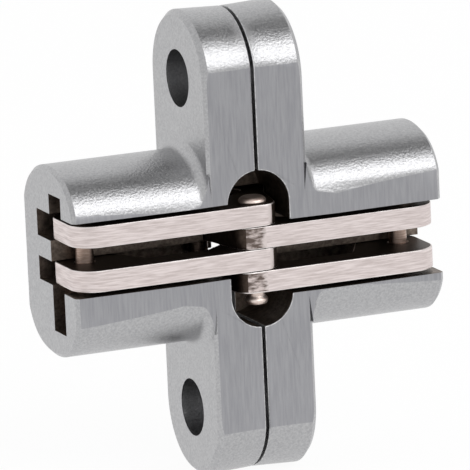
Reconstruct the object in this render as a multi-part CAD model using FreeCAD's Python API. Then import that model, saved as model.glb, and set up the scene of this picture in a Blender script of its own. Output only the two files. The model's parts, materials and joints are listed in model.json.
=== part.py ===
"""Invisible hinge for a cabinet door: two castings joined by four stamped links.

Frame: the hinge is closed. X runs across the seam between the two castings,
Y runs from the front, where the links show, to the back, and Z runs up.
The origin is the centre of the seam. All sizes are in millimetres.

The left casting is fixed. The door turns its neighbour towards +Y.
Each link slides in one casting, crosses the seam and pivots in the other.
"""
import FreeCAD, Part
import math
import os

Vector = FreeCAD.Vector

# Plates, the two faces that meet at the seam
plate_height = 44.0
plate_width = 13.0
plate_thickness = 4.8
plate_draft = 0.2
plate_edge_chamfer = 0.5
seam_gap = 0.3

# Barrels, which fill the drilled part of the mortise
barrel_reach = 18.4
barrel_radius = 8.95
barrel_corner_radius = 5.2
barrel_draft = 0.3
barrel_end_chamfer = 0.35
root_fillet = 1.0

# Screw holes, countersunk in the faces that meet
screw_spacing = 31.2
screw_hole_diameter = 5.4
countersink_diameter = 8.2

# Recess across both faces for the centre pin and the bends of the links
recess_half_width = 3.05
recess_height = 14.7
recess_depth = 7.5

# Links: four alike, in four levels, counted from the top
link_thickness = 2.04
link_gap = 0.04
link_front_inset = 0.15
neck_depth = 2.75
neck_end_from_seam = 4.2
arm_depth = 6.95
arm_end_inset = 0.35
arm_front_corner = 2.4
arm_back_corner = 1.2
arm_shoulder_from_slide_pin = 3.3
shoulder_run = 2.1
hub_radius = 1.7
bend_offset = 0.45
waist = (2.75, -1.0)
knee = (4.05, 1.9)
notch = (1.4, 0.9)
link_inner_radius = 1.0
link_knee_radius = 1.2

# Pin places, for the link that slides in the left casting
centre_pin_depth = 1.8
pivot_from_seam = 2.0
pivot_from_back = 2.3
slide_pin_from_end = 2.7
slide_pin_from_front = 4.65

# Pins
centre_pin_diameter = 1.7
centre_head_diameter = 2.6
centre_head_height = 0.6
centre_tail_diameter = 2.3
centre_tail_length = 1.3
pivot_pin_diameter = 1.9
pivot_pin_length = 13.4
slide_pin_diameter = 1.7
slide_pin_length = 12.4
pin_chamfer = 0.15

# Clearances
pin_clearance = 0.03
press_clearance = 0.01
link_side_clearance = 0.4
web_clearance = 0.1
hub_clearance = 0.2
channel_clearance = 0.6
channel_end_clearance = 0.25
bow_clearance = 0.15

# Pockets
pocket_wall_at_back = 3.7
seam_pocket_wall_at_back = 1.2
overshoot = 1.0

# Sizes worked out from the ones above
half_gap = seam_gap / 2
plate_back = half_gap + plate_thickness
half_width = plate_width / 2
flat_half_height = math.sqrt((barrel_radius - barrel_corner_radius) ** 2 - (half_width - barrel_corner_radius) ** 2)
root_half_height = math.sqrt((barrel_radius + root_fillet) ** 2 - half_width ** 2)
level_pitch = link_thickness + link_gap
stack_top = 2 * level_pitch - link_gap / 2
front_edge = -half_width + link_front_inset
centre_pin_y = -half_width + centre_pin_depth
pivot_x = pivot_from_seam
pivot_y = half_width - pivot_from_back
slide_x = barrel_reach - slide_pin_from_end
slide_y = -half_width + slide_pin_from_front
neck_edge = front_edge + neck_depth
arm_back_edge = front_edge + arm_depth
channel_half = slide_pin_diameter / 2 + channel_clearance
channel_back = slide_y + channel_half
channel_front = slide_y - channel_half
arm_length = math.hypot(slide_x, slide_y - centre_pin_y)
leg_length = math.hypot(pivot_x, pivot_y - centre_pin_y)


def level_centre(level):
    """Height of the middle of a link level, 1 at the top to 4 at the bottom."""
    return (2.5 - level) * level_pitch


def slide_point(turn, arm_turn):
    """Place of the slide pin after the leg and the arm have turned, in radians."""
    leg_angle = math.atan2(centre_pin_y - pivot_y, pivot_x) + turn
    arm_angle = math.atan2(centre_pin_y - slide_y, slide_x) + arm_turn
    centre_x = -pivot_x + leg_length * math.cos(leg_angle)
    centre_y = pivot_y + leg_length * math.sin(leg_angle)
    return centre_x - arm_length * math.cos(arm_angle), centre_y - arm_length * math.sin(arm_angle)


def open_turn():
    """Turn of the leg that opens the door by half a turn, slide pin back on its line."""
    low, high = math.radians(95), math.radians(150)
    for step in range(60):
        middle = (low + high) / 2
        if slide_point(middle, math.pi - middle)[1] > slide_y:
            high = middle
        else:
            low = middle
    return (low + high) / 2


def line(a, b):
    return Part.LineSegment(Vector(*a), Vector(*b)).toShape()


def arc(a, middle, b):
    return Part.Arc(Vector(*a), Vector(*middle), Vector(*b)).toShape()


def flat_path(path):
    """Edges at z = 0 from pieces of two points, for a line, or three, for an arc."""
    edges = []
    for piece in path:
        points = [(x, y, 0) for x, y in piece]
        edges.append(line(*points) if len(points) == 2 else arc(*points))
    return edges


def polygon(points):
    """Edges at z = 0 of a closed outline with straight sides."""
    return flat_path([(points[i - 1], points[i]) for i in range(len(points))])


def upright_edges(solid, corners):
    """Edges that stand upright at the given corners."""
    found = []
    for edge in solid.Edges:
        c = edge.CenterOfMass
        if edge.BoundBox.ZLength > 0.5 and min(math.hypot(c.x - x, c.y - y) for x, y in corners) < 1e-3:
            found.append(edge)
    return found


def prism(edges, z_low, z_high):
    """Solid over a closed outline drawn at z = 0."""
    face = Part.Face(Part.Wire(edges))
    face.translate(Vector(0, 0, z_low))
    return face.extrude(Vector(0, 0, z_high - z_low))


def box(x_low, x_high, y_low, y_high, z_low, z_high):
    size = (x_high - x_low, y_high - y_low, z_high - z_low)
    return Part.makeBox(*size, Vector(x_low, y_low, z_low))


def upright(x, y, radius, z_low, z_high):
    return Part.makeCylinder(radius, z_high - z_low, Vector(x, y, z_low))


def plate_solid():
    """Plate with half-round ends, a little narrower at the seam than at the back."""
    narrow = half_width - plate_draft
    centre = plate_height / 2 - half_width
    sides = [(-plate_back, -half_width), (-half_gap, -narrow), (-half_gap, narrow), (-plate_back, half_width)]
    solid = prism(polygon(sides), -centre, centre)
    for z in (-centre, centre):
        end = Part.makeCone(half_width, narrow, plate_thickness, Vector(-plate_back, 0, z), Vector(1, 0, 0))
        solid = solid.fuse(end)
    return solid.removeSplitter()


def barrel_solid():
    """Round bar with two flats, its corners eased by a radius; the flats' draft is cut later."""
    w = half_width
    r = barrel_corner_radius
    cy = w - r
    cz = flat_half_height
    grow = barrel_radius / (barrel_radius - r)
    ty = cy * grow
    tz = cz * grow
    half_turn = math.atan2(cz, cy) / 2
    my = cy + r * math.cos(half_turn)
    mz = cz + r * math.sin(half_turn)
    x = -barrel_reach
    outline = Part.Wire([
        line((x, -w, -cz), (x, -w, cz)),
        arc((x, -w, cz), (x, -my, mz), (x, -ty, tz)),
        arc((x, -ty, tz), (x, 0, barrel_radius), (x, ty, tz)),
        arc((x, ty, tz), (x, my, mz), (x, w, cz)),
        line((x, w, cz), (x, w, -cz)),
        arc((x, w, -cz), (x, my, -mz), (x, ty, -tz)),
        arc((x, ty, -tz), (x, 0, -barrel_radius), (x, -ty, -tz)),
        arc((x, -ty, -tz), (x, -my, -mz), (x, -w, -cz)),
    ])
    bar = Part.Face(outline).extrude(Vector(barrel_reach - plate_back, 0, 0))
    return bar.makeChamfer(barrel_end_chamfer, edges_at(bar, x, lambda c: True))


def edges_at(shape, x, test):
    """Edges that lie in the upright plane at x and pass the test on their middle."""
    found = []
    for edge in shape.Edges:
        bounds = edge.BoundBox
        if abs(bounds.XMin - x) < 1e-4 and abs(bounds.XMax - x) < 1e-4:
            if test(edge.CenterOfMass):
                found.append(edge)
    return found


def root_filleted_barrel():
    """Barrel on a plate made too wide, so that the fillet runs all round its root."""
    half = plate_height / 2
    wide = box(-plate_back, -half_gap, -plate_width, plate_width, -half, half)
    joined = wide.fuse(barrel_solid()).removeSplitter()
    roots = edges_at(joined, -plate_back, lambda c: math.hypot(c.y, c.z) < barrel_radius)
    return joined.makeFillet(root_fillet, roots)


def casting_envelope():
    """Room inside the mortise: the plate and a slot that narrows towards the barrel's end.

    The slot starts as wide as the plate, and the plate's chamfer runs out where the barrel's flats begin.
    """
    plate = plate_solid()
    eased = plate.makeChamfer(plate_edge_chamfer, edges_at(plate, -plate_back, lambda c: True))
    x = -plate_back
    inner_x = x + plate_edge_chamfer
    y = -plate_width
    corners = [(x, y, root_half_height), (inner_x, y, flat_half_height),
               (inner_x, y, -flat_half_height), (x, y, -root_half_height)]
    run_out = Part.Wire([line(corners[i - 1], corners[i]) for i in range(4)])
    sharp = plate.common(Part.Face(run_out).extrude(Vector(0, 2 * plate_width, 0)))
    end = -barrel_reach
    narrow = half_width - barrel_draft
    chamfered = narrow - barrel_end_chamfer
    sides = [(end, -chamfered), (end + barrel_end_chamfer, -narrow), (x, -half_width),
             (x, half_width), (end + barrel_end_chamfer, narrow), (end, chamfered)]
    slot = prism(polygon(sides), -plate_width, plate_width)
    return eased.fuse([sharp, slot])


def casting_blank():
    """Plate and barrel in one, before its pockets and holes are cut."""
    return root_filleted_barrel().common(casting_envelope()).removeSplitter()


def tangent_point(centre, radius, point, side):
    """Point where the line from an outside point touches a circle, left or right of it."""
    dx = point[0] - centre[0]
    dy = point[1] - centre[1]
    angle = math.atan2(dy, dx) + side * math.acos(radius / math.hypot(dx, dy))
    return on_circle(centre, radius, angle), angle


def on_circle(centre, radius, angle):
    return centre[0] + radius * math.cos(angle), centre[1] + radius * math.sin(angle)


def link_solid(level):
    """Stamped link that slides in the left casting and pivots in the right one."""
    bend = (bend_offset, centre_pin_y)
    bend_radius = centre_pin_y - front_edge
    hub = (pivot_x, pivot_y)
    end_x = -barrel_reach + arm_end_inset
    shoulder = (-slide_x + arm_shoulder_from_slide_pin, arm_back_edge)
    shoulder_foot = (shoulder[0] + shoulder_run, neck_edge)
    neck_end = (-neck_end_from_seam, neck_edge)
    front_corner = (end_x + arm_front_corner, front_edge + arm_front_corner)
    back_corner = (end_x + arm_back_corner, arm_back_edge - arm_back_corner)
    bend_side, bend_angle = tangent_point(bend, bend_radius, waist, -1)
    hub_outer, outer_angle = tangent_point(hub, hub_radius, knee, 1)
    hub_inner, inner_angle = tangent_point(hub, hub_radius, notch, -1)
    hub_top = on_circle(hub, hub_radius, (outer_angle + inner_angle + 2 * math.pi) / 2)
    bend_middle = on_circle(bend, bend_radius, (bend_angle - math.pi / 2) / 2)
    front_middle = on_circle(front_corner, arm_front_corner, math.radians(225))
    back_middle = on_circle(back_corner, arm_back_corner, math.radians(135))
    path = [
        ((front_corner[0], front_edge), (bend[0], front_edge)),
        ((bend[0], front_edge), bend_middle, bend_side),
        (bend_side, waist),
        (waist, knee),
        (knee, hub_outer),
        (hub_outer, hub_top, hub_inner),
        (hub_inner, notch),
        (notch, neck_end),
        (neck_end, shoulder_foot),
        (shoulder_foot, shoulder),
        (shoulder, (back_corner[0], arm_back_edge)),
        ((back_corner[0], arm_back_edge), back_middle, (end_x, back_corner[1])),
        ((end_x, back_corner[1]), (end_x, front_corner[1])),
        ((end_x, front_corner[1]), front_middle, (front_corner[0], front_edge)),
    ]
    low = level_centre(level) - link_thickness / 2
    high = level_centre(level) + link_thickness / 2
    solid = prism(flat_path(path), low, high)
    solid = solid.makeFillet(link_inner_radius, upright_edges(solid, [waist, notch, neck_end, shoulder_foot]))
    solid = solid.makeFillet(link_knee_radius, upright_edges(solid, [knee, shoulder]))
    holes = [(0.0, centre_pin_y, centre_pin_diameter), (pivot_x, pivot_y, pivot_pin_diameter),
             (-slide_x, slide_y, slide_pin_diameter)]
    for x, y, diameter in holes:
        solid = solid.cut(upright(x, y, diameter / 2 + pin_clearance, low - overshoot, high + overshoot))
    return solid


def turned(shape):
    """The same piece in the other casting: half a turn about the Y axis."""
    copy = shape.copy()
    copy.rotate(Vector(0, 0, 0), Vector(0, 1, 0), 180)
    return copy


def screw_holes():
    cutters = []
    sink = (countersink_diameter - screw_hole_diameter) / 2
    for z in (-screw_spacing / 2, screw_spacing / 2):
        start = Vector(-plate_back - overshoot, 0, z)
        hole = Part.makeCylinder(screw_hole_diameter / 2, plate_thickness + 2 * overshoot, start, Vector(1, 0, 0))
        cone = Part.makeCone(screw_hole_diameter / 2, countersink_diameter / 2 + overshoot,
                             sink + overshoot, Vector(-half_gap - sink, 0, z), Vector(1, 0, 0))
        cutters += [hole, cone]
    return cutters


def centre_recess():
    """Capsule milled from the front, shared by both castings."""
    r = recess_half_width
    h = recess_height / 2
    y = -half_width - overshoot
    outline = Part.Wire([
        line((-r, y, -h + r), (-r, y, h - r)),
        arc((-r, y, h - r), (0, y, h), (r, y, h - r)),
        line((r, y, h - r), (r, y, -h + r)),
        arc((r, y, -h + r), (0, y, -h), (-r, y, -h + r)),
    ])
    return Part.Face(outline).extrude(Vector(0, recess_depth + overshoot, 0))


def seam_pocket():
    """Room for the links next to the seam, over all four levels."""
    side = -knee[0] - hub_clearance
    front = -half_width - overshoot
    back = half_width - seam_pocket_wall_at_back
    outline = [(overshoot, front), (-recess_half_width, front), (-recess_half_width, waist[1]),
               (side, knee[1] - hub_clearance), (side, back), (overshoot, back)]
    half = stack_top + link_side_clearance
    return prism(polygon(outline), -half, half)


def back_slots():
    """Slots through the back, for the hubs that pivot here and their legs when open.

    Each is round about the pivot pin, and opens towards the seam.
    """
    radius = hub_radius + hub_clearance
    back = half_width + overshoot
    cutters = []
    for level, bottom_clearance in ((2, web_clearance), (4, link_side_clearance)):
        low = level_centre(level) - link_thickness / 2 - bottom_clearance
        high = level_centre(level) + link_thickness / 2 + web_clearance
        cutters.append(upright(-pivot_x, pivot_y, radius, low, high))
        cutters.append(box(-pivot_x, overshoot, knee[1], back, low, high))
    return cutters


def front_cavity():
    """Opening across the front of the barrel, over the top three levels."""
    low = level_centre(3) - link_thickness / 2 - link_side_clearance
    high = stack_top + link_side_clearance
    return box(-barrel_reach - overshoot, overshoot, -half_width - overshoot, channel_back, low, high)


def link_pockets():
    """Two deeper slots behind the front cavity, one for each sliding link."""
    back = half_width - pocket_wall_at_back
    cutters = []
    for level, top_clearance in ((1, link_side_clearance), (3, web_clearance)):
        low = level_centre(level) - link_thickness / 2 - web_clearance
        high = level_centre(level) + link_thickness / 2 + top_clearance
        cutters.append(box(-barrel_reach - overshoot, -pivot_x, centre_pin_y, back, low, high))
    return cutters


def slide_channel():
    """Channel for the slide pin, open at the barrel's end.

    Its front side bows out where the pin leaves the straight line in mid travel.
    """
    turn = open_turn()
    open_x = slide_point(turn, math.pi - turn)[0]
    middle_x, middle_y = slide_point(turn / 2, (math.pi - turn) / 2)
    start = -barrel_reach - overshoot
    end = open_x + slide_pin_diameter / 2 + channel_end_clearance
    bowed = middle_y - slide_pin_diameter / 2 - bow_clearance
    path = [
        ((start, channel_back), (start, channel_front)),
        ((start, channel_front), (-slide_x - channel_half, channel_front)),
        ((-slide_x - channel_half, channel_front), (middle_x, bowed), (end, channel_front)),
        ((end, channel_front), (end, channel_back)),
        ((end, channel_back), (start, channel_back)),
    ]
    half = slide_pin_length / 2 + channel_end_clearance
    return prism(flat_path(path), -half, half)


def pivot_groove():
    """Grooves above and below the links, open at the seam, where the pivot pin is laid."""
    half = pivot_pin_length / 2 + press_clearance
    r = pivot_pin_diameter / 2 + press_clearance
    groove = box(-pivot_x, overshoot, pivot_y - r, pivot_y + r, -half, half)
    return groove.fuse(upright(-pivot_x, pivot_y, r, -half, half))


def left_casting():
    solid = casting_blank()
    cutters = screw_holes() + link_pockets() + back_slots()
    cutters += [centre_recess(), seam_pocket(), front_cavity(), slide_channel(), pivot_groove()]
    for cutter in cutters:
        solid = solid.cut(cutter)
    return solid.removeSplitter()


def plain_pin(x, y, diameter, length):
    """Pin with a small chamfer at both ends."""
    pin = upright(x, y, diameter / 2, -length / 2, length / 2)
    rims = [edge for edge in pin.Edges if edge.Closed and abs(edge.CenterOfMass.z) > length / 2 - 1e-4]
    return pin.makeChamfer(pin_chamfer, rims)


def centre_pin():
    """Rivet: a low head on the top link and a peened tail below the bottom link."""
    top = stack_top + centre_head_height
    bottom = -stack_top - centre_tail_length
    shank = centre_pin_diameter / 2
    head = centre_head_diameter / 2
    tail = centre_tail_diameter / 2
    ease = centre_head_height / 2
    flare = centre_tail_length / 3
    profile = [(0, top), (head - ease, top), (head, top - ease), (head, stack_top), (shank, stack_top),
               (shank, -stack_top - flare), (tail, bottom + flare), (tail - flare / 2, bottom), (0, bottom)]
    points = [(x, 0, z) for x, z in profile]
    outline = Part.Wire([line(points[i - 1], points[i]) for i in range(len(points))])
    pin = Part.Face(outline).revolve(Vector(0, 0, 0), Vector(0, 0, 1), 360)
    pin.translate(Vector(0, centre_pin_y, 0))
    return pin


def export(node, shape):
    solid = shape.Solids[0] if len(shape.Solids) == 1 else shape
    print(node, "valid", solid.isValid(), "solids", len(shape.Solids), "volume", round(shape.Volume, 2))
    solid.exportStep(os.path.join("parts", node + ".step"))


def main():
    os.makedirs("parts", exist_ok=True)
    casting = left_casting()
    top_link = link_solid(1)
    third_link = link_solid(3)
    pivot = plain_pin(-pivot_x, pivot_y, pivot_pin_diameter, pivot_pin_length)
    slide = plain_pin(-slide_x, slide_y, slide_pin_diameter, slide_pin_length)
    export("frame_leaf", casting)
    export("door_leaf", turned(casting))
    export("link_1", top_link)
    export("link_2", turned(third_link))
    export("link_3", third_link)
    export("link_4", turned(top_link))
    export("pivot_pin_frame", pivot)
    export("pivot_pin_door", turned(pivot))
    export("slide_pin_frame", slide)
    export("slide_pin_door", turned(slide))
    export("centre_pin", centre_pin())
    turn = open_turn()
    open_x, open_y = slide_point(turn, math.pi - turn)
    print("pivot turn at fully open", round(math.degrees(turn), 4))
    print("turn ratio at the centre pin", round((math.pi - turn) / turn - 1, 7))
    print("slide pin when open", round(open_x, 3), round(open_y, 3))


main()
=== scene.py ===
import json
import math

import bpy
from mathutils import Matrix, Vector

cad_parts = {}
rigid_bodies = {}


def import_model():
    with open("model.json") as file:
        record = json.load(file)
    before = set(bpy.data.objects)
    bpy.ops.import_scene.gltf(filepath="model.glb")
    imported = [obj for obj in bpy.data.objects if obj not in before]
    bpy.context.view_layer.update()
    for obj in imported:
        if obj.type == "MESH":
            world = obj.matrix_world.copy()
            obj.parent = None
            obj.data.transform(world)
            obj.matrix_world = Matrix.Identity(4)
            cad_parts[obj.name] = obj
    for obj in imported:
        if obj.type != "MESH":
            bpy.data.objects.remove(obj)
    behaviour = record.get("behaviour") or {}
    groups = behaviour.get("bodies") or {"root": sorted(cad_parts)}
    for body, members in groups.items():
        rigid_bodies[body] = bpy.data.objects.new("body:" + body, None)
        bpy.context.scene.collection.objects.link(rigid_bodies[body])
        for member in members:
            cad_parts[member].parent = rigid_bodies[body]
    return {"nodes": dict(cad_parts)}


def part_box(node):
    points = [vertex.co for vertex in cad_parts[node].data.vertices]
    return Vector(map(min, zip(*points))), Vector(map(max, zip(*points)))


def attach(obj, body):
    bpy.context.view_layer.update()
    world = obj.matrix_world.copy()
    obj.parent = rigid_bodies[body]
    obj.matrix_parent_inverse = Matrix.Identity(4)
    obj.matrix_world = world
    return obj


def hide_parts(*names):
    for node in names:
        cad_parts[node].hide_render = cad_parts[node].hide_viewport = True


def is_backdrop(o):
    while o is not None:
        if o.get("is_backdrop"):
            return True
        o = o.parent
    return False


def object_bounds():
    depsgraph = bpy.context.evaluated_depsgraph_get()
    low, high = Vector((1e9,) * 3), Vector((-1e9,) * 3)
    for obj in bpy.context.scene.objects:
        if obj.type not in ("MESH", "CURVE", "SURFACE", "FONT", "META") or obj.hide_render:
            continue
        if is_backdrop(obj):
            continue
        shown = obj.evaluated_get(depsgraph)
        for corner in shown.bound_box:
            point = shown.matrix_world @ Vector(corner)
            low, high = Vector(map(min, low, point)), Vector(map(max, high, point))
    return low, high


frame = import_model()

bl_info = {
    "name": "Invisible Hinge",
    "version": (1, 0, 0),
    "blender": (4, 5, 0),
    "location": "View3D > Sidebar > Hinge",
    "description": "Dresses an invisible cabinet hinge in satin zinc and brushed steel",
    "category": "Object",
}

MM = 0.001
NODES = frame["nodes"]
SMALL_ANGLE = math.radians(30)
SAME_PLACE = 0.0005 * MM
SAME_PLANE = math.radians(0.4)

CASTINGS = {"frame_leaf": "fixed_leaf", "door_leaf": "moving_leaf"}
LINKS = {
    "link_1": "frame_side_links", "link_2": "door_side_links",
    "link_3": "frame_side_links", "link_4": "door_side_links",
}
PINS = {
    "centre_pin": "frame_side_links", "pivot_pin_frame": "fixed_leaf", "pivot_pin_door": "moving_leaf",
    "slide_pin_frame": "frame_side_links", "slide_pin_door": "door_side_links",
}
LINK_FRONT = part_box("link_1")[0].y
# Behind this, the links' leg takes the dull oily colour with painted shade.
LINK_GROUND_BACK = LINK_FRONT + 2.6 * MM

# Places on the castings and links where the finish and the painted shade change, as in the CAD source
BARREL_REACH = -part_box("frame_leaf")[0].x - 0.1 * MM
BARREL_HALF_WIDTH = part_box("frame_leaf")[1].y
BARREL_CORNER = 5.2 * MM
BARREL_FLAT_HALF_HEIGHT = 3.52 * MM
PLATE_BACK = 4.95 * MM
PLATE_DRAFT = 0.2 * MM
SEAM_FACE = 0.16 * MM
RECESS_HALF_HEIGHT = 7.45 * MM
RECESS_REACH = 3.4 * MM
BEND_REACH = 4.5 * MM
LINK_END = 17.5 * MM
TORN_LINKS = ("link_2", "link_4")
TORN_END = 0.6 * MM
WHEEL_SIZE = (30 * MM, 4 * MM, 60 * MM)
# How far in from the outside a casting's plated skin reaches, where the pocket walls' oily colour and painted
# shade begin, and its end's chamfer
SKIN_DEPTH = 0.50 * MM
END_CHAMFER = 0.4 * MM

# Studio, in metres and watts: levels of light by how closely a direction points at the dark gap
DARK_GAP = (0.371, -0.134, 0.919)
GAP_STOPS = ((0.0, 0.88), (0.91, 0.84), (0.965, 0.34), (0.985, 0.02))
STRIP_WAY = (0.367, -0.721, 0.588)
STRIP_DISTANCE = 0.9
STRIP_SIZE = (1.0, 0.44)
STRIP_POWER = 3.1
BOARD_SIZE = (3.0, 1.26, 1.0)
BOARD_MIDDLE_Y = 0.57
BOARD_SWEEP = ((0, 0.6, 0.25), (0, 0.2, 2.0), (0, -0.3, 1.0))
GLOW_SHARE = 0.93


class HingeFinish(bpy.types.PropertyGroup):
    """Colours and surface sizes of the hinge's metals."""

    casting_colour: bpy.props.StringProperty(
        name="Casting", description="Colour of the satin zinc castings", default="#BABABB")
    flat_colour: bpy.props.StringProperty(
        name="Ground flats", description="Colour of the ground flats of the castings", default="#A4A4A7")
    # Painted highlight: a paler colour for the castings' edges, so that a thin bright line follows each one.
    arris_highlight_colour: bpy.props.StringProperty(
        name="Arrises", description="Colour of the edges, rubbed bright", default="#DCDCDC")
    # Pocket walls: brown oily metal, made darker as painted shade for the recesses.
    pocket_oil_and_shade_colour: bpy.props.StringProperty(
        name="Pockets", description="Colour of the bare, oily metal inside the pockets", default="#85796F")
    link_colour: bpy.props.StringProperty(
        name="Links", description="Colour of the brushed steel links", default="#EADFDD")
    torn_colour: bpy.props.StringProperty(
        name="Torn bends", description="Colour of the rough, torn bends of the links", default="#D6C9C5")
    # Painted shade: the links' faces between the levels and deep in the recess are coloured dark brown.
    dull_oil_and_shade_colour: bpy.props.StringProperty(
        name="Dull faces", description="Colour of the oily flat faces of the links", default="#4C413A")
    pin_colour: bpy.props.StringProperty(
        name="Pins", description="Colour of the turned steel pins", default="#BCA79B")
    # Painted highlight: the rivet is coloured paler than the pins.
    rivet_highlight_colour: bpy.props.StringProperty(
        name="Rivet", description="Colour of the rivet's peened head and tail", default="#F0E2DA")
    grit: bpy.props.FloatProperty(
        name="Grit", description="Width of the pits that blasting leaves", default=0.21 * MM, unit="LENGTH")
    brush_pitch: bpy.props.FloatProperty(
        name="Brush pitch", description="Distance between brush lines on the links", default=0.14 * MM,
        unit="LENGTH")


class HingeEdges(bpy.types.PropertyGroup):
    """Widths of the eased edges."""

    # The bevel faces of this width carry the castings' painted highlight.
    casting_edge: bpy.props.FloatProperty(
        name="Casting edge", description="Width of the rubbed rims of seam and recess",
        default=0.10 * MM, unit="LENGTH")
    grinding: bpy.props.FloatProperty(
        name="Grinding", description="Depth ground off the flats of the plates",
        default=0.18 * MM, unit="LENGTH")
    rivet_edge: bpy.props.FloatProperty(
        name="Rivet edge", description="Width of the rounding of the rivet's head and tail",
        default=0.16 * MM, unit="LENGTH")
    link_edge: bpy.props.FloatProperty(
        name="Link edge", description="Width of the eased edges of the links",
        default=0.14 * MM, unit="LENGTH")
    pin_edge: bpy.props.FloatProperty(
        name="Pin edge", description="Width of the eased edges of the pins",
        default=0.06 * MM, unit="LENGTH")


class HingeStage(bpy.types.PropertyGroup):
    """Camera, floor and lamps."""

    azimuth: bpy.props.FloatProperty(
        name="Azimuth", description="Camera's turn about the upright axis", default=math.radians(-22.33),
        subtype="ANGLE")
    elevation: bpy.props.FloatProperty(
        name="Elevation", description="Camera's height as an angle", default=math.radians(12.30),
        subtype="ANGLE")
    roll: bpy.props.FloatProperty(
        name="Roll", description="Camera's turn about its own axis", default=math.radians(-2.59),
        subtype="ANGLE")
    distance: bpy.props.FloatProperty(
        name="Distance", description="Camera's distance from the hinge", default=720.1 * MM,
        unit="LENGTH")
    aim_right: bpy.props.FloatProperty(
        name="Aim right", description="How far the camera aims right of the seam's centre", default=0.066 * MM,
        unit="LENGTH")
    aim_up: bpy.props.FloatProperty(
        name="Aim up", description="How far the camera aims above the seam's centre", default=0.163 * MM,
        unit="LENGTH")
    lens: bpy.props.FloatProperty(
        name="Lens", description="Focal length in millimetres on a sensor 36 mm wide", default=594.4)
    floor_colour: bpy.props.StringProperty(
        name="Floor", description="Colour of the floor and backdrop", default="#FFFFFF")


def linear(text):
    """Linear colour of an sRGB hex value."""
    channels = [int(text[i:i + 2], 16) / 255 for i in (1, 3, 5)]
    return tuple(c / 12.92 if c <= 0.04045 else ((c + 0.055) / 1.055) ** 2.4 for c in channels) + (1.0,)


def add_node(tree, kind, inputs=None, **values):
    """Adds a node, sets its properties, and sets its inputs or links them to sockets."""
    node = tree.nodes.new(kind)
    for name, value in values.items():
        setattr(node, name, value)
    for key, value in (inputs or {}).items():
        if isinstance(value, bpy.types.NodeSocket):
            tree.links.new(value, node.inputs[key])
        else:
            node.inputs[key].default_value = value
    return node


def new_material(name):
    material = bpy.data.materials.new(name)
    material.use_nodes = True
    material.node_tree.nodes.clear()
    return material, material.node_tree


def lay_grain(tree, light, dark, grain, stretch, low, high):
    """Noise of the given size, drawn out by stretch, and its tone: dark below low, light above high."""
    place = add_node(tree, "ShaderNodeTexCoord")
    scale = [1 / (grain * length) for length in stretch]
    laid = add_node(tree, "ShaderNodeMapping", {"Vector": place.outputs["Object"], "Scale": scale})
    noise = add_node(tree, "ShaderNodeTexNoise", {
        "Vector": laid.outputs[0], "Scale": 1.0, "Detail": 3.0, "Roughness": 0.6})
    tone = add_node(tree, "ShaderNodeValToRGB", {"Fac": noise.outputs["Fac"]})
    for element, position, colour in zip(tone.color_ramp.elements, (low, high), (dark, light)):
        element.position = position
        element.color = linear(colour)
    return place, noise, tone


def shine(tree, colour, roughness, height, depth, strength=1.0):
    """Bare metal of the given colour, as rough and as deep as said."""
    bump = add_node(tree, "ShaderNodeBump", {"Strength": strength, "Distance": depth, "Height": height})
    metal = add_node(tree, "ShaderNodeBsdfPrincipled", {
        "Base Color": colour, "Metallic": 1.0, "Roughness": roughness, "Normal": bump.outputs[0]})
    add_node(tree, "ShaderNodeOutputMaterial", {"Surface": metal.outputs[0]})


def grained_metal(name, light, dark, grain, stretch, depth, roughness, contrast=0.15):
    """Metal with a grain of the given size, drawn out along an axis by its stretch."""
    material, tree = new_material(name)
    place, noise, tone = lay_grain(tree, light, dark, grain, stretch, 0.5 - contrast, 0.5 + contrast)
    shine(tree, tone.outputs["Color"], roughness, noise.outputs["Fac"], depth)
    return material


def torn_metal(name, light, dark, plain):
    """Metal torn by the shears: dark tears that stop at TORN_END, where the ground edge starts."""
    material, tree = new_material(name)
    place, tears, tone = lay_grain(tree, light, dark, 0.36 * MM, (3.0, 3.0, 1.0), 0.42, 0.64)
    # The border wanders with the tears, by up to the first of these, and fades over the other two.
    ragged = 1.4 * MM
    fade_start = TORN_END + ragged / 2 - 0.5 * MM
    fade_end = TORN_END + ragged / 2 - 0.1 * MM
    along = add_node(tree, "ShaderNodeSeparateXYZ", {0: place.outputs["Object"]})
    wandering = add_node(tree, "ShaderNodeMath", {
        0: tears.outputs["Fac"], 1: ragged, 2: along.outputs["X"]}, operation="MULTIPLY_ADD")
    whole = add_node(tree, "ShaderNodeMapRange", {
        "Value": wandering.outputs[0], "From Min": fade_start, "From Max": fade_end})
    torn = add_node(tree, "ShaderNodeMath", {0: 1.0, 1: whole.outputs[0]}, operation="SUBTRACT")
    colour = add_node(tree, "ShaderNodeMixRGB", {
        "Fac": whole.outputs[0], "Color1": tone.outputs["Color"], "Color2": linear(plain)})
    shine(tree, colour.outputs["Color"], 0.42, tears.outputs["Fac"], 0.045 * MM, torn.outputs[0])
    return material


def casting_materials():
    """Zinc alloy, die cast, blasted and satin plated, then ground in places; oily pocket walls darkened with
    painted shade, and edges with a painted highlight.
    """
    finish = bpy.context.scene.hinge_finish
    even = (1.0, 1.0, 1.0)
    upright = (1.0, 1.0, 14.0)
    return [
        # Blasted and plated: shallow pits break up every reflection.
        grained_metal(
            "satin_plated_zinc", finish.casting_colour, "#A6A6A8", finish.grit, even, 0.040 * MM, 0.31),
        # Ground flats: upright lines, a little darker and duller than the plating.
        grained_metal("ground_zinc", finish.flat_colour, "#98989C", 0.22 * MM, upright, 0.010 * MM, 0.38),
        # Bare walls of the pockets: oily metal, its colour darkened as painted shade where daylight hardly
        # reaches.
        grained_metal("oily_zinc_painted_shade", finish.pocket_oil_and_shade_colour, "#5E544D", 0.45 * MM, even, 0.030 * MM, 0.42),
        # Arrises: painted highlight, a paler colour so that a thin bright line follows each edge.
        grained_metal("zinc_edge_painted_highlight", finish.arris_highlight_colour, "#A8A8AA", 0.35 * MM, even, 0.010 * MM, 0.45),
    ]


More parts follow.
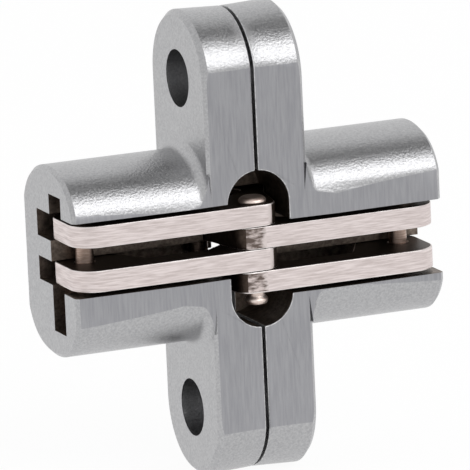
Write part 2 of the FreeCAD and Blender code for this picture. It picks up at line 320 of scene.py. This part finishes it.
def link_materials():
    """Cold-rolled steel strip, stamped out, its narrow front edge ground along its length."""
    finish = bpy.context.scene.hinge_finish
    along = (14.0, 14.0, 1.0)
    return [
        # Ground edge: long fine lines, a warm tint from the oil.
        grained_metal(
            "brushed_steel", finish.link_colour, "#CCC0BD", finish.brush_pitch, along, 0.012 * MM, 0.40),
        # Torn bends: short dark tears across the sheared corner.
        torn_metal("torn_steel", finish.torn_colour, "#695D57", "#DBD0CD"),
        # Rolled faces between the levels, and the bend's back and leg: dull, brown with oil, and painted
        # darker as shade between the levels and deep in the recess.
        grained_metal(
            "rolled_steel_painted_shade", finish.dull_oil_and_shade_colour, "#3A312B", 0.40 * MM, (3.0, 1.0, 1.0), 0.010 * MM, 0.45),
        # Eased edges: painted highlight, a paler colour so that a bright line runs along each link.
        grained_metal("steel_edge_painted_highlight", "#F2ECEA", "#D8CECB", finish.brush_pitch, along, 0.008 * MM, 0.38),
    ]


def pin_materials():
    """Turned steel pins, and a softer rivet."""
    finish = bpy.context.scene.hinge_finish
    round_it = (10.0, 10.0, 1.0)
    return [
        # Turned: fine rings round the pin and a warm, oily film.
        grained_metal("turned_steel", finish.pin_colour, "#8E796D", 0.12 * MM, round_it, 0.008 * MM, 0.34),
        # Peened head and tail: painted highlight, a pale colour that makes the rivet brighter than the turned
        # pins.
        grained_metal("peened_steel_painted_highlight", finish.rivet_highlight_colour, "#C0ABA0", 0.25 * MM, round_it, 0.012 * MM, 0.42),
    ]


def pale_stage():
    """Matt white board that the camera and the metal see as white, with the hinge's shadow on it."""
    stage = bpy.context.scene.hinge_stage
    material, tree = new_material("pale_board")
    rays = add_node(tree, "ShaderNodeLightPath")
    seen = add_node(tree, "ShaderNodeMath", {
        0: rays.outputs["Is Camera Ray"], 1: rays.outputs["Is Glossy Ray"]}, operation="MAXIMUM")
    seen = add_node(tree, "ShaderNodeMath", {
        0: seen.outputs[0], 1: rays.outputs["Is Transmission Ray"]}, operation="MAXIMUM")
    share = add_node(tree, "ShaderNodeMath", {0: seen.outputs[0], 1: GLOW_SHARE}, operation="MULTIPLY")
    board = add_node(tree, "ShaderNodeBsdfDiffuse", {"Color": linear(stage.floor_colour)})
    glow = add_node(tree, "ShaderNodeEmission", {"Color": (1.0, 1.0, 1.0, 1.0), "Strength": 1.0})
    both = add_node(tree, "ShaderNodeMixShader", {
        0: share.outputs[0], 1: board.outputs[0], 2: glow.outputs[0]})
    add_node(tree, "ShaderNodeOutputMaterial", {"Surface": both.outputs[0]})
    return material


def deselect():
    if bpy.context.object and bpy.context.object.mode != "OBJECT":
        bpy.ops.object.mode_set(mode="OBJECT")
    bpy.ops.object.select_all(action="DESELECT")


def copy_of_node(node, name):
    """A copy of a CAD node with its loose triangles merged."""
    deselect()
    source = NODES[node]
    source.select_set(True)
    bpy.context.view_layer.objects.active = source
    bpy.ops.object.duplicate()
    piece = bpy.context.view_layer.objects.active
    bpy.ops.object.parent_clear(type="CLEAR_KEEP_TRANSFORM")
    bpy.ops.object.transform_apply(location=True, rotation=True, scale=True)
    piece.name = name
    piece.data.name = name
    if piece.data.has_custom_normals:
        bpy.ops.mesh.customdata_custom_splitnormals_clear()
    bpy.ops.object.mode_set(mode="EDIT")
    bpy.ops.mesh.select_all(action="SELECT")
    bpy.ops.mesh.remove_doubles(threshold=SAME_PLACE)
    bpy.ops.mesh.dissolve_limited(angle_limit=SAME_PLANE)
    bpy.ops.object.mode_set(mode="OBJECT")
    return piece


def split_across(piece, x):
    """Cuts the faces of a piece in two at a place along X, and leaves its shape as it is."""
    bpy.ops.object.mode_set(mode="EDIT")
    bpy.ops.mesh.select_all(action="SELECT")
    bpy.ops.mesh.bisect(plane_co=(x, 0, 0), plane_no=(1, 0, 0))
    bpy.ops.object.mode_set(mode="OBJECT")


def grind_flats(piece, side, depth):
    """Grinds the front and back of a plate flat, which leaves a crease where its round ends begin."""
    for facing in (-1, 1):
        lean = math.atan2(PLATE_DRAFT, PLATE_BACK - SEAM_FACE)
        turn = lean * side * facing
        outward = Vector((-math.sin(turn), math.cos(turn), 0)) * facing
        middle_x = side * (PLATE_BACK + SEAM_FACE) / 2
        on_flat = Vector((middle_x, facing * (BARREL_HALF_WIDTH - PLATE_DRAFT / 2), 0))
        deselect()
        bpy.ops.mesh.primitive_cube_add(size=1.0, location=on_flat + outward * (WHEEL_SIZE[1] / 2 - depth))
        wheel = bpy.context.object
        wheel.scale = WHEEL_SIZE
        wheel.rotation_euler.z = turn
        bpy.ops.object.transform_apply(location=True, rotation=True, scale=True)
        deselect()
        piece.select_set(True)
        bpy.context.view_layer.objects.active = piece
        cut = piece.modifiers.new("ground", "BOOLEAN")
        cut.operation = "DIFFERENCE"
        cut.solver = "EXACT"
        cut.object = wheel
        bpy.ops.object.modifier_apply(modifier=cut.name)
        bpy.data.objects.remove(wheel)


def paint_faces(piece, slot_of):
    """Gives every face the material slot that slot_of picks for its middle and its normal."""
    for face in piece.data.polygons:
        face.material_index = slot_of(face.center, face.normal)


def casting_slot(middle, normal):
    """0 for the plated skin, 1 for the ground flats, 2 for the walls of the pockets, which are oily and carry
    painted shade.
    """
    x, y, z = [abs(value) for value in middle]
    corner_y = BARREL_HALF_WIDTH - BARREL_CORNER
    corner_z = BARREL_FLAT_HALF_HEIGHT
    rounded = math.hypot(max(y - corner_y, 0), max(z - corner_z, 0)) - BARREL_CORNER
    deep = rounded < -SKIN_DEPTH
    at_back = abs(x - PLATE_BACK) < 0.02 * MM
    end_chamfer = x > BARREL_REACH - END_CHAMFER and abs(normal.x) > 0.5
    if deep and z < RECESS_HALF_HEIGHT and SEAM_FACE < x < BARREL_REACH and not at_back:
        return 0 if end_chamfer else 2
    return 1 if abs(normal.y) > 0.9988 else 0


def link_slot(middle, normal):
    """0 for the ground edge, 1 for the torn start of the bend, 2 for the rolled faces, the back of the bend
    and the leg, which are oily and carry painted shade.
    """
    if abs(normal.z) > 0.9:
        return 2
    at_middle = abs(middle.x) < BEND_REACH
    if at_middle and -0.97 < normal.y < -0.85:
        return 1
    bend = at_middle and normal.y > -0.85
    leg = middle.y > LINK_GROUND_BACK and abs(middle.x) < LINK_END
    return 2 if bend or leg else 0


def torn_link_slot(middle, normal):
    """As link_slot, with the tears running on over the start of the front edge."""
    return 1 if normal.y < -0.97 and middle.x < TORN_END else link_slot(middle, normal)


def away_from_seam(place):
    """True beyond the seam's and the recess's rims, where thin faces of the run-out take no bevel."""
    return abs(place.x) > RECESS_REACH


def ease_edges(piece, width, segments=2, hidden_slot=None, edge_slot=-1, left_sharp=None):
    """Rounds the sharp edges of a piece and shades it smooth.

    Edges between two hidden faces and edges that end where left_sharp says so stay as they are.
    """
    if left_sharp:
        # The flats are faces of many corners, which the bevel would fold over one another.
        bpy.ops.object.mode_set(mode="EDIT")
        bpy.ops.mesh.select_all(action="SELECT")
        bpy.ops.mesh.quads_convert_to_tris(quad_method="BEAUTY", ngon_method="BEAUTY")
        bpy.ops.object.mode_set(mode="OBJECT")
    mesh = piece.data
    hidden = {}
    for face in mesh.polygons:
        for key in face.edge_keys:
            hidden[key] = hidden.get(key, True) and face.material_index == hidden_slot
    bpy.ops.object.mode_set(mode="EDIT")
    bpy.ops.mesh.select_mode(type="EDGE")
    bpy.ops.mesh.select_all(action="DESELECT")
    bpy.ops.mesh.edges_select_sharp(sharpness=SMALL_ANGLE)
    bpy.ops.object.mode_set(mode="OBJECT")
    for edge in mesh.edges:
        kept = left_sharp and any(left_sharp(mesh.vertices[i].co) for i in edge.vertices)
        edge.select = edge.select and not hidden[edge.key] and not kept
    bpy.ops.object.mode_set(mode="EDIT")
    bpy.ops.mesh.bevel(offset=width, segments=segments, affect="EDGES", clamp_overlap=not left_sharp,
                       material=edge_slot, harden_normals=False)
    bpy.ops.object.mode_set(mode="OBJECT")
    bpy.ops.object.shade_smooth_by_angle(angle=SMALL_ANGLE)
    weights = piece.modifiers.new("flat_faces_stay_flat", "WEIGHTED_NORMAL")
    weights.keep_sharp = True
    bpy.ops.object.modifier_apply(modifier=weights.name)


def dress(piece, materials):
    piece.data.materials.clear()
    for material in materials:
        piece.data.materials.append(material)


def take_place(piece, body, slot, *nodes):
    """The piece moves with its body and stands for CAD nodes, which it hides; slot is not used."""
    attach(piece, body)
    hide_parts(*nodes)


class HINGE_OT_castings(bpy.types.Operator):
    """Castings with ground flats, oily pockets darkened with painted shade and edges with a painted highlight
    """

    bl_idname = "hinge.castings"
    bl_label = "Castings"

    def execute(self, context):
        edges = context.scene.hinge_edges
        materials = casting_materials()
        for node, body in CASTINGS.items():
            piece = copy_of_node(node, node + "_cast")
            grind_flats(piece, -1 if node == "frame_leaf" else 1, edges.grinding)
            dress(piece, materials)
            paint_faces(piece, casting_slot)
            ease_edges(piece, edges.casting_edge, hidden_slot=2, edge_slot=3, left_sharp=away_from_seam)
            take_place(piece, body, "casting", node)
        return {"FINISHED"}


class HINGE_OT_links(bpy.types.Operator):
    """Stamped links with ground front edges and torn bends"""

    bl_idname = "hinge.links"
    bl_label = "Links"

    def execute(self, context):
        edges = context.scene.hinge_edges
        materials = link_materials()
        for node, body in LINKS.items():
            piece = copy_of_node(node, node + "_stamped")
            dress(piece, materials)
            torn = node in TORN_LINKS
            if torn:
                split_across(piece, TORN_END)
            paint_faces(piece, torn_link_slot if torn else link_slot)
            ease_edges(piece, edges.link_edge, edge_slot=3)
            take_place(piece, body, "link", node)
        return {"FINISHED"}


class HINGE_OT_pins(bpy.types.Operator):
    """Pins and the centre rivet in turned steel"""

    bl_idname = "hinge.pins"
    bl_label = "Pins"

    def execute(self, context):
        edges = context.scene.hinge_edges
        turned, peened = pin_materials()
        for node, body in PINS.items():
            piece = copy_of_node(node, node + "_turned")
            rivet = node == "centre_pin"
            dress(piece, [peened if rivet else turned])
            ease_edges(piece, edges.rivet_edge if rivet else edges.pin_edge, segments=3)
            take_place(piece, body, "pin", node)
        return {"FINISHED"}


def add_board(name, material):
    """Floor and backdrop in one sheet, swept up behind the hinge."""
    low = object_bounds()[0].z
    deselect()
    bpy.ops.mesh.primitive_plane_add(size=1.0, location=(0, 0, low))
    board = bpy.context.object
    board.name = name
    board.scale = BOARD_SIZE
    board.location.y = BOARD_MIDDLE_Y
    bpy.ops.object.transform_apply(location=True, rotation=True, scale=True)
    bpy.ops.object.mode_set(mode="EDIT")
    bpy.ops.mesh.select_all(action="DESELECT")
    bpy.ops.object.mode_set(mode="OBJECT")
    for edge in board.data.edges:
        ends = [board.data.vertices[i].co.y for i in edge.vertices]
        edge.select = min(ends) > BOARD_MIDDLE_Y
    bpy.ops.object.mode_set(mode="EDIT")
    for step in BOARD_SWEEP:
        bpy.ops.mesh.extrude_region_move(TRANSFORM_OT_translate={"value": step})
    bpy.ops.object.mode_set(mode="OBJECT")
    board.data.materials.append(material)
    board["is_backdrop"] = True
    return board


def add_lamp(name, direction, distance, size, power):
    """Area lamp at a direction and distance from the hinge, facing it."""
    deselect()
    way = Vector(direction).normalized()
    bpy.ops.object.light_add(type="AREA", location=way * distance)
    lamp = bpy.context.object
    lamp.name = name
    lamp.rotation_euler = way.to_track_quat("Z", "Y").to_euler()
    lamp.data.shape = "RECTANGLE"
    lamp.data.size = size[0]
    lamp.data.size_y = size[1]
    lamp.data.energy = power
    return lamp


def set_world():
    """Even pale room with a dark gap overhead, between the front strip and the backdrop."""
    scene = bpy.context.scene
    scene.world = bpy.data.worlds.new("studio")
    scene.world.use_nodes = True
    tree = scene.world.node_tree
    tree.nodes.clear()
    place = add_node(tree, "ShaderNodeTexCoord")
    towards_gap = add_node(tree, "ShaderNodeVectorMath", {
        0: place.outputs["Generated"], 1: Vector(DARK_GAP).normalized()}, operation="DOT_PRODUCT")
    ramp = add_node(tree, "ShaderNodeValToRGB", {"Fac": towards_gap.outputs["Value"]})
    while len(ramp.color_ramp.elements) < len(GAP_STOPS):
        ramp.color_ramp.elements.new(0.5)
    for element, (position, level) in zip(ramp.color_ramp.elements, GAP_STOPS):
        element.position = position
        element.color = (level, level, level, 1.0)
    light = add_node(tree, "ShaderNodeBackground", {"Color": ramp.outputs["Color"], "Strength": 1.0})
    add_node(tree, "ShaderNodeOutputWorld", {"Surface": light.outputs[0]})


def add_camera():
    """Camera at the photograph's angle, with a long lens."""
    stage = bpy.context.scene.hinge_stage
    a = stage.azimuth
    e = stage.elevation
    right = Vector((math.cos(a), math.sin(a), 0))
    back = Vector((math.sin(a) * math.cos(e), -math.cos(a) * math.cos(e), math.sin(e)))
    up = back.cross(right)
    rolled_right = right * math.cos(stage.roll) + up * math.sin(stage.roll)
    rolled_up = back.cross(rolled_right)
    deselect()
    bpy.ops.object.camera_add(location=(0, 0, 0))
    camera = bpy.context.object
    camera.name = "photo_camera"
    turn = Matrix((rolled_right, rolled_up, back)).transposed()
    place = back * stage.distance + rolled_right * stage.aim_right + rolled_up * stage.aim_up
    camera.matrix_world = Matrix.Translation(place) @ turn.to_4x4()
    camera.data.sensor_width = 36.0
    camera.data.lens = stage.lens
    camera.data.clip_start = 0.01
    camera.data.clip_end = 20.0
    bpy.context.scene.camera = camera


class HINGE_OT_stage(bpy.types.Operator):
    """Floor, backdrop, lamps and camera"""

    bl_idname = "hinge.stage"
    bl_label = "Stage"

    def execute(self, context):
        add_board("floor_and_backdrop", pale_stage())
        set_world()
        add_lamp("front_strip", STRIP_WAY, STRIP_DISTANCE, STRIP_SIZE, STRIP_POWER)
        add_camera()
        context.scene.view_settings.view_transform = "Standard"
        return {"FINISHED"}


class HINGE_PT_panel(bpy.types.Panel):
    """Lists the hinge's pieces"""

    bl_idname = "HINGE_PT_panel"
    bl_label = "Invisible Hinge"
    bl_space_type = "VIEW_3D"
    bl_region_type = "UI"
    bl_category = "Hinge"

    def draw(self, context):
        column = self.layout.column()
        for operator in OPERATORS:
            column.operator(operator.bl_idname)
        for group in (context.scene.hinge_finish, context.scene.hinge_edges, context.scene.hinge_stage):
            for name in group.__annotations__:
                column.prop(group, name)


GROUPS = (HingeFinish, HingeEdges, HingeStage)
OPERATORS = (HINGE_OT_castings, HINGE_OT_links, HINGE_OT_pins, HINGE_OT_stage)


def register():
    for item in GROUPS + OPERATORS + (HINGE_PT_panel,):
        bpy.utils.register_class(item)
    bpy.types.Scene.hinge_finish = bpy.props.PointerProperty(type=HingeFinish)
    bpy.types.Scene.hinge_edges = bpy.props.PointerProperty(type=HingeEdges)
    bpy.types.Scene.hinge_stage = bpy.props.PointerProperty(type=HingeStage)


def unregister():
    del bpy.types.Scene.hinge_stage
    del bpy.types.Scene.hinge_edges
    del bpy.types.Scene.hinge_finish
    for item in reversed(GROUPS + OPERATORS + (HINGE_PT_panel,)):
        bpy.utils.unregister_class(item)


def main():
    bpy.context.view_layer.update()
    register()
    bpy.ops.hinge.castings()
    bpy.ops.hinge.links()
    bpy.ops.hinge.pins()
    bpy.ops.hinge.stage()


if __name__ == "__main__":
    main()
